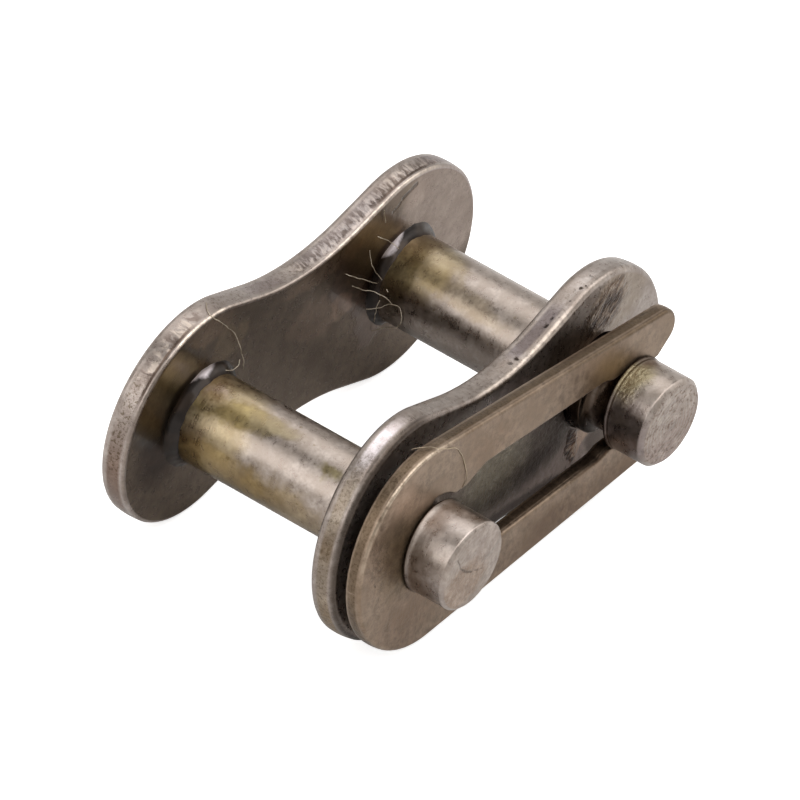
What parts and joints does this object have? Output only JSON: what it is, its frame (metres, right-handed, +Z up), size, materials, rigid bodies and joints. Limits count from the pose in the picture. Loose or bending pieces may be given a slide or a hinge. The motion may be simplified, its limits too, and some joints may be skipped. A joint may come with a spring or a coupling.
{
  "type": "chain connecting link",
  "caption": "Roller chain connecting link: grooved pins peened in a waisted plate, with a loose cover plate kept on by a flat slotted spring clip.",
  "frame": {"origin": "on the floor that the plates' lower edges stand on, below the middle of the link", "axes": "+X along the chain to the clip's mouth, +Y along the pins to the plate that they are peened in, +Z up"},
  "size_m": [0.0222, 0.0148, 0.0095],
  "materials": {
    "rear_plate_steel": "tumbled, oily warm grey steel",
    "cover_plate_steel": "tumbled, oily warm grey steel",
    "left_pin_steel": "ground steel with yellow-brown oil stains",
    "right_pin_steel": "ground steel with yellow-brown oil stains",
    "clip_steel": "tempered brown-grey spring steel"
  },
  "bodies": {
    "link": {"rear_plate": "rear_plate_steel", "left_pin": "left_pin_steel", "right_pin": "right_pin_steel"},
    "cover": {"cover_plate": "cover_plate_steel"},
    "clip": {"spring_clip": "clip_steel"}
  },
  "joints": [
    {"name": "cover_slide", "type": "slide", "parent": "link", "child": "cover", "axis": [0, 1, 0], "range_m": [-0.0002, 0.0078]},
    {"name": "clip_slide", "type": "slide", "parent": "link", "child": "clip", "axis": [-1, 0, 0], "range_m": [0, 0.0044], "deforming": ["spring_clip"]}
  ]
}
